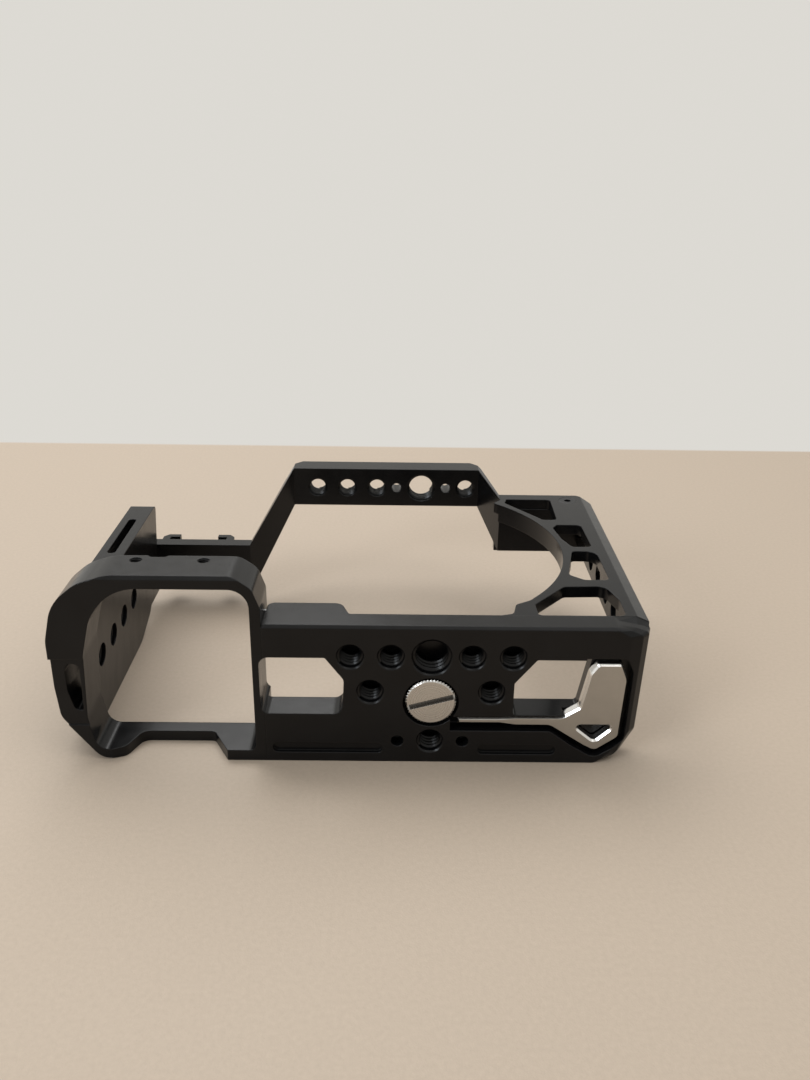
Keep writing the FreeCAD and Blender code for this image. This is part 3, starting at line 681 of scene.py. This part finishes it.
@dataclass(frozen=True)
class SideRow:
    """A row of 1/4 in holes along one side wall, in millimetres of the drawing."""

    name: str
    way: Way
    x: float
    first_y: float
    z: float
    length: float
    pitch: float = 11.1
    count: int = 4

    def coils(self) -> ThreadedHoles:
        """Their thread coils."""
        holes = [
            (QUARTER, (self.x, self.first_y + self.pitch * k, self.z)) for k in range(self.count)
        ]
        return ThreadedHoles(self.name, self.way, self.length, holes)


GRIP_SIDE_ROW = SideRow(
    "grip_side_threads", Way.GRIP_SIDE, x=-90.4, first_y=20.4, z=18.8, length=6.0
)
LENS_SIDE_ROW = SideRow(
    "lens_side_threads", Way.LENS_RELEASE_SIDE, x=51.95, first_y=27.6, z=29.6, length=3.6
)


@dataclass(frozen=True)
class GripBandHoles:
    """The two small tapped holes in the band over the grip, in millimetres of the drawing."""

    at_x: tuple[float, float] = (-72.4, -55.9)
    y: float = 9.6
    z: float = 50.0
    length: float = 3.0

    def coils(self) -> ThreadedHoles:
        """Their thread coils."""
        holes = [(M3_BAND, (x, self.y, self.z)) for x in self.at_x]
        return ThreadedHoles("band_threads", Way.TO_LENS, self.length, holes)


@dataclass(frozen=True)
class HoleEnds:
    """The closed inner ends of the base plate's tapped holes, in millimetres."""

    inner_y: float = 7.8
    web: float = 0.7
    clearance: float = 0.02
    segments: int = 48

    def build(self, holes: list[Hole], finish: bpy.types.Material) -> bpy.types.Object:
        """Make one thin web per hole.

        Args:
            holes: Each hole's thread and centre.
            finish: The webs' material.

        Returns:
            The piece, riding on the frame.
        """
        bm = bmesh.new()
        for thread, (x, _, z) in holes:
            radius = (thread.wall - self.clearance) * MM
            middle = row(x, self.inner_y - self.web / 2.0, z)
            bmesh.ops.create_cone(
                bm,
                cap_ends=True,
                segments=self.segments,
                radius1=radius,
                radius2=radius,
                depth=self.web * MM,
                matrix=Matrix.Translation(middle) @ Way.OUT_OF_BASE.turn(),
            )
        return solid("base_hole_ends", bm, finish, "frame")


@dataclass(frozen=True)
class CornerBlend:
    """Run-out of the base plate's top into the lens frame at the front corner.

    Both profiles are closed outlines of X and Z in millimetres of the drawing, corner by corner.
    """

    near_y: float = 3.8
    far_y: float = 6.75
    left_x: float = 44.5
    foot_z: float = 36.0
    near_top: tuple[tuple[float, float], ...] = ((44.5, 38.80), (50.4, 37.95), (53.3, 36.95))
    far_top: tuple[tuple[float, float], ...] = ((44.5, 38.98), (50.8, 38.98), (53.85, 37.6))

    def profile(self, top: tuple[tuple[float, float], ...]) -> list[tuple[float, float]]:
        """Close the outline under a top edge: down at its right end and back along the foot."""
        return [*top, (top[-1][0], self.foot_z), (self.left_x, self.foot_z)]

    def build(self, finish: bpy.types.Material) -> bpy.types.Object:
        """Make the wedge between the two profiles.

        Args:
            finish: Its material.

        Returns:
            The piece, riding on the frame.
        """
        bm = bmesh.new()
        near, far = (
            [bm.verts.new(row(x, y, z)) for x, z in self.profile(top)]
            for y, top in ((self.near_y, self.near_top), (self.far_y, self.far_top))
        )
        for i in range(len(near)):
            j = (i + 1) % len(near)
            bm.faces.new((near[i], near[j], far[j], far[i]))
        for end in (near, far):
            bm.faces.new(end)
        return solid("corner_blend", bm, finish, "frame")


@dataclass(frozen=True)
class CameraScrew:
    """What is cut into the camera screw: its knurled rim and its shank's thread, in millimetres.

    A ridge's nose is at the head's face and its tail at the head's back. Its root is sunk into
    the head, and slot_gap keeps the ridges clear of the slot's ends.
    """

    head_r: float = 6.2
    back_y: float = 2.45
    ridges: int = 48
    ridge: float = 0.22
    lead: float = 0.32
    nose_gap: float = 0.01
    nose_drop: float = 0.02
    tail: float = 0.2
    tail_sunk: float = 0.1
    sunk: float = 0.06
    root_share: float = 0.96
    slot_w: float = 1.5
    slot_deg: float = 16.0
    slot_gap: float = 0.3
    thread_y: tuple[float, float] = (7.7, 12.4)

    def stations(self) -> list[tuple[float, float, float]]:
        """Depth, root radius and crest radius of a knurl ridge, from its nose to its tail."""
        root = self.head_r - self.sunk
        crest = self.head_r + self.ridge
        return [
            (
                SCREW_FACE_Y + self.nose_gap,
                root - self.lead,
                self.head_r - self.lead - self.nose_drop,
            ),
            (SCREW_FACE_Y + self.lead, root, crest),
            (self.back_y - self.tail, root, crest),
            (self.back_y, root - self.tail_sunk, self.head_r - self.nose_drop),
        ]

    def rim(self, y: float, r: float, turn: float) -> Vector:
        """A point round the screw's axis, in the part's frame."""
        return row(r * math.cos(turn), y, SCREW_Z + r * math.sin(turn))

    def ridge_at(self, bm: bmesh.types.BMesh, turn: float) -> None:
        """Add one closed knurl ridge.

        Args:
            bm: The mesh to add to.
            turn: Its place round the head, in radians.
        """
        half = math.pi / self.ridges * self.root_share
        sections = []
        for y, root, crest in self.stations():
            corners = ((root, -half), (crest, 0.0), (root, half))
            sections.append([bm.verts.new(self.rim(y, r, turn + a)) for r, a in corners])
        for near, far in zip(sections, sections[1:]):
            for i in range(3):
                j = (i + 1) % 3
                bm.faces.new((near[i], near[j], far[j], far[i]))
        bm.faces.new(sections[0])
        bm.faces.new(reversed(sections[-1]))

    def knurl(self, finish: bpy.types.Material) -> bpy.types.Object:
        """Straight knurl round the head, with no ridge where the slot runs out."""
        bm = bmesh.new()
        slot = math.radians(self.slot_deg)
        for k in range(self.ridges):
            turn = FULL_TURN / self.ridges * k
            from_slot = abs(math.sin(turn - slot)) * self.head_r
            if from_slot >= self.slot_w / 2.0 + self.slot_gap:
                self.ridge_at(bm, turn)
        return solid("screw_knurl", bm, finish, "screw")

    def thread(self, finish: bpy.types.Material) -> bpy.types.Object:
        """Thread of the shank's free end."""
        bm = bmesh.new()
        low, high = self.thread_y
        SHANK.coil(bm, row(0.0, (low + high) / 2.0, SCREW_Z), Way.OUT_OF_BAR, high - low)
        return solid("screw_thread", bm, finish, "screw")


@dataclass(frozen=True)
class SocketScrew:
    """A countersunk screw with a hexagon socket, in millimetres."""

    shank_r: float
    head_r: float
    head_h: float
    flats: float
    socket_depth: float
    rim_w: float = 0.12
    rim_h: float = 0.1
    tip: float = 0.3
    segments: int = 36

    def ring(
        self, bm: bmesh.types.BMesh, place: Matrix, depth: float, r: float | None = None
    ) -> list[bmesh.types.BMVert]:
        """One ring of points, round where a radius is given and a hexagon otherwise."""
        side = math.pi / 3.0
        points = []
        for k in range(self.segments):
            turn = FULL_TURN * k / self.segments
            from_flat = (turn + side / 2.0) % side - side / 2.0
            reach = r if r is not None else self.flats / 2.0 / math.cos(from_flat)
            point = Vector((reach * math.cos(turn), reach * math.sin(turn), depth)) * MM
            points.append(bm.verts.new(place @ point))
        return points

    def build(self, bm: bmesh.types.BMesh, place: Matrix, length: float) -> None:
        """Add one screw.

        Args:
            bm: The mesh to add to.
            place: Takes the head's face to the origin of a frame whose +Z runs down the shank.
            length: Length over all in millimetres.
        """
        stations = [
            (self.socket_depth, None),
            (0.0, None),
            (0.0, self.head_r - self.rim_w),
            (self.rim_h, self.head_r),
            (self.head_h, self.shank_r),
            (length - self.tip, self.shank_r),
            (length, self.shank_r - self.tip),
        ]
        rings = [self.ring(bm, place, depth, r) for depth, r in stations]
        for near, far in zip(rings, rings[1:]):
            for k in range(self.segments):
                n = (k + 1) % self.segments
                bm.faces.new((near[k], near[n], far[n], far[k]))
        bm.faces.new(rings[0])
        bm.faces.new(rings[-1])


M25_SCREW = SocketScrew(shank_r=1.25, head_r=2.35, head_h=1.4, flats=1.5, socket_depth=0.9)
M3_SCREW = SocketScrew(shank_r=1.5, head_r=2.75, head_h=1.7, flats=2.0, socket_depth=1.1)


@dataclass(frozen=True)
class ScrewGroup:
    """The one or two screws of a CAD node, remade with their sockets."""

    node: str
    size: SocketScrew
    into: Way
    pair_from: float = 3.0

    def split(self, points: list[Vector], along: int) -> list[list[Vector]]:
        """Part the node's points into one list per screw.

        Args:
            points: The node's points.
            along: The axis that the screws run along.

        Returns:
            One list, or two where the node is wider than pair_from head radii.
        """
        low, high = box(points)
        across = max((i for i in range(3) if i != along), key=lambda i: high[i] - low[i])
        if high[across] - low[across] <= self.pair_from * self.size.head_r * MM:
            return [points]
        middle = (low[across] + high[across]) / 2.0
        return [[p for p in points if (p[across] < middle) == side] for side in (True, False)]

    def build(self, cad: bpy.types.Object, finish: bpy.types.Material) -> bpy.types.Object:
        """Make one screw for each solid of the node.

        Args:
            cad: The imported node.
            finish: The screws' material.

        Returns:
            The piece, which replaces the node.
        """
        into = Vector(self.into.value)
        along = max(range(3), key=lambda i: abs(into[i]))
        bm = bmesh.new()
        for group in self.split([v.co.copy() for v in cad.data.vertices], along):
            low, high = box(group)
            face = (low + high) / 2.0
            face[along] = low[along] if into[along] > 0.0 else high[along]
            place = Matrix.Translation(face) @ self.into.turn()
            self.size.build(bm, place, (high[along] - low[along]) / MM)
        piece = solid(
            self.node.replace("screw", "socket_screw"), bm, finish, "frame"
        )
        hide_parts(self.node)
        return piece


FIXING_SCREWS = (
    ScrewGroup("grip_frame_screws", M25_SCREW, Way.LENS_RELEASE_SIDE),
    ScrewGroup("bridge_side_screws", M25_SCREW, Way.LENS_RELEASE_SIDE),
    ScrewGroup("bridge_front_screw", M3_SCREW, Way.FROM_LENS),
    ScrewGroup("lens_frame_screws", M25_SCREW, Way.OUT_OF_BASE),
)


@dataclass(frozen=True)
class Lamp:
    """A soft rectangular lamp: place and size in metres, power in watts."""

    name: str
    at: tuple[float, float, float]
    size: tuple[float, float]
    power: float
    tint: Colour = WHITE

    def hang(self, aim: Vector) -> None:
        """Put the lamp in the scene.

        Args:
            aim: The point that it looks at, in metres.
        """
        at = Vector(self.at)
        data = bpy.data.lights.new(self.name, "AREA")
        data.shape = "RECTANGLE"
        data.size, data.size_y = self.size
        data.energy = self.power
        data.color = self.tint
        lamp = bpy.data.objects.new(self.name, data)
        lamp.location = at
        lamp.rotation_euler = (aim - at).to_track_quat("-Z", "Y").to_euler()
        bpy.context.scene.collection.objects.link(lamp)


LAMPS = (
    Lamp("window", at=(-0.35, 0.55, 0.95), size=(1.1, 0.8), power=9.0),
    Lamp("ceiling", at=(0.35, -0.10, 1.2), size=(1.2, 1.2), power=6.0),
    Lamp("fill", at=(-0.75, -0.75, 0.60), size=(0.4, 0.4), power=4.5, tint=(0.86, 0.93, 1.0)),
)


@dataclass(frozen=True)
class Studio:
    """Table, light and camera.

    The eye and the table's end are in millimetres of the drawing, the sensor in millimetres, and
    other lengths in metres.
    """

    focal_px: float = 967.1
    image_h: float = 1080.0
    sensor: float = 24.0
    clip_start: float = 0.01
    pitch_deg: float = 23.30
    yaw_deg: float = 0.639
    roll_deg: float = 0.856
    eye: tuple[float, float, float] = (-9.291, -205.113, 150.078)
    table_size: float = 4.0
    table_end_y: float = 262.0
    table_end_blur: float = 0.001
    table_rough: float = 0.62
    table_mottle: float = 0.93
    table_cloud_per_m: float = 900.0
    table_grain_per_m: float = 2200.0
    table_grain_height: float = 0.00015
    table: Colour = (0.46, 0.375, 0.29)
    wall: Colour = (0.72, 0.70, 0.655)
    room: Colour = (0.80, 0.79, 0.77)
    room_strength: float = 0.55
    aim: tuple[float, float, float] = (0.0, 0.0, 0.02)

    def table_finish(self) -> bpy.types.Material:
        """Pale table top, and a paler ground beyond its end."""
        b = Bench("table_top")
        shader = b.surface(Roughness=self.table_rough)
        split = b.add("ShaderNodeSeparateXYZ")
        b.join(b.position(), split.inputs[0])
        end = row(0.0, self.table_end_y, 0.0).y
        far = b.spread(
            split.outputs["Y"],
            low=0.0,
            high=1.0,
            start=end - self.table_end_blur,
            end=end + self.table_end_blur,
        )
        darker = tuple(c * self.table_mottle for c in self.table)
        near = b.clouds(b.noise(self.table_cloud_per_m, detail=6.0), darker, self.table)
        b.join(near, shader.inputs["Base Color"])
        grain = b.noise(self.table_grain_per_m, detail=4.0)
        normal = b.bump(grain, strength=0.35, distance=self.table_grain_height)
        b.join(normal, shader.inputs["Normal"])
        ground = b.add("ShaderNodeEmission")
        ground.inputs["Color"].default_value = (*self.wall, 1.0)
        choice = b.add("ShaderNodeMixShader")
        b.join(far, choice.inputs["Fac"])
        b.join(shader.outputs[0], choice.inputs[1])
        b.join(ground.outputs[0], choice.inputs[2])
        return b.finish(choice)

    def floor(self) -> bpy.types.Object:
        """Lay the table top under the cage."""
        bm = bmesh.new()
        bmesh.ops.create_grid(bm, x_segments=1, y_segments=1, size=self.table_size)
        mesh = bpy.data.meshes.new("table_top")
        bm.to_mesh(mesh)
        bm.free()
        mesh.materials.append(self.table_finish())
        top = bpy.data.objects.new("table_top", mesh)
        bpy.context.scene.collection.objects.link(top)
        return top

    def light(self) -> None:
        """A large window above and behind, a fill in front, and a pale room."""
        for lamp in LAMPS:
            lamp.hang(Vector(self.aim))
        world = bpy.data.worlds.new("room")
        world.use_nodes = True
        tree = world.node_tree
        soft = tree.nodes["Background"]
        soft.inputs["Color"].default_value = (*self.room, 1.0)
        soft.inputs["Strength"].default_value = self.room_strength
        seen = tree.nodes.new("ShaderNodeBackground")
        seen.inputs["Color"].default_value = (*self.wall, 1.0)
        seen.inputs["Strength"].default_value = 1.0
        path = tree.nodes.new("ShaderNodeLightPath")
        shown = path.outputs["Is Camera Ray"]
        for name in ("Is Glossy Ray", "Is Transmission Ray"):
            either = tree.nodes.new("ShaderNodeMath")
            either.operation = "MAXIMUM"
            tree.links.new(shown, either.inputs[0])
            tree.links.new(path.outputs[name], either.inputs[1])
            shown = either.outputs[0]
        mix = tree.nodes.new("ShaderNodeMixShader")
        tree.links.new(shown, mix.inputs["Fac"])
        tree.links.new(soft.outputs[0], mix.inputs[1])
        tree.links.new(seen.outputs[0], mix.inputs[2])
        tree.links.new(mix.outputs[0], tree.nodes["World Output"].inputs["Surface"])
        bpy.context.scene.world = world

    def camera(self) -> None:
        """Put the camera where the photograph was taken."""
        pitch, yaw, roll = (math.radians(a) for a in (self.pitch_deg, self.yaw_deg, self.roll_deg))
        forward = Vector(
            (math.sin(yaw) * math.cos(pitch), math.cos(yaw) * math.cos(pitch), -math.sin(pitch))
        )
        level = Vector((math.cos(yaw), -math.sin(yaw), 0.0))
        rise = level.cross(forward)
        right = level * math.cos(roll) + rise * math.sin(roll)
        up = rise * math.cos(roll) - level * math.sin(roll)
        data = bpy.data.cameras.new("photo_view")
        data.sensor_fit = "VERTICAL"
        data.sensor_height = self.sensor
        data.lens = self.focal_px / self.image_h * self.sensor
        data.clip_start = self.clip_start
        eye = bpy.data.objects.new("photo_view", data)
        turn = Matrix((right, up, -forward)).transposed().to_4x4()
        eye.matrix_world = Matrix.Translation(row(*self.eye)) @ turn
        bpy.context.scene.collection.objects.link(eye)
        bpy.context.scene.camera = eye


class Cage:
    """The whole cage: repaints the CAD nodes and adds threads, knurling and socket screws."""

    def __init__(self, nodes: dict[str, bpy.types.Object]) -> None:
        """Make the finishes.

        Args:
            nodes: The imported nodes, by name.
        """
        self.nodes = nodes
        screw_face = row(0.0, SCREW_FACE_Y, SCREW_Z)
        stainless = TurnedSteel("stainless", axis_at=screw_face, face_y=screw_face.y)
        self.finishes = {
            look.name: look.material()
            for look in (
                BLACK_ANODISED,
                stainless,
                TOOL_STEEL,
                BLACK_STEEL,
                DOWEL_STEEL,
                MAGNET_NICKEL,
                WASHER_NYLON,
                PAD_SILICONE,
            )
        }

    @staticmethod
    def slot_of(node: str) -> str:
        """Name the material slot of a CAD node.

        Args:
            node: The node's name.

        Returns:
            The record's material slot, which is also the finish's name.
        """
        slots = {
            "camera_screw": "stainless",
            "thrust_washer": "washer_nylon",
            "driver_tool": "tool_steel",
            "tool_magnets": "magnet_nickel",
            "index_pin": "dowel_steel",
        }
        if node.endswith("_screws") or node in ("bridge_front_screw", "retaining_clip"):
            return "black_steel"
        if node.endswith("_dowels"):
            return "dowel_steel"
        if node.startswith("base_pad"):
            return "pad_silicone"
        return slots.get(node, "black_anodised")

    def repaint(self) -> None:
        """Give every CAD node its finish."""
        for name, node in self.nodes.items():
            slot = self.slot_of(name)
            for material_slot in node.material_slots:
                material_slot.material = self.finishes[slot]
            LOG.info("%s painted %s", name, slot)

    def threads(self) -> None:
        """Thread coils of every tapped hole, section by section."""
        black = self.finishes["black_anodised"]
        base = BasePlateHoles()
        base.coils().build(black)
        HoleEnds().build(base.holes(), black)
        CornerBlend().build(black)
        for holes in (TopBarHoles(), GRIP_SIDE_ROW, LENS_SIDE_ROW, GripBandHoles()):
            holes.coils().build(black)

    def build(self) -> None:
        """Build and dress everything in order."""
        self.repaint()
        self.threads()
        for group in FIXING_SCREWS:
            group.build(self.nodes[group.node], self.finishes["black_steel"])
        screw = CameraScrew()
        screw.knurl(self.finishes["stainless"])
        screw.thread(self.finishes["stainless"])


def main() -> None:
    """Load the frame, dress it, and set the studio round it."""
    logging.basicConfig(level=logging.INFO, format="%(name)s %(message)s")
    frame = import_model()
    bpy.context.scene.view_settings.view_transform = "Standard"
    Cage(frame["nodes"]).build()
    studio = Studio()
    studio.floor()
    studio.light()
    studio.camera()


if __name__ == "__main__":
    main()
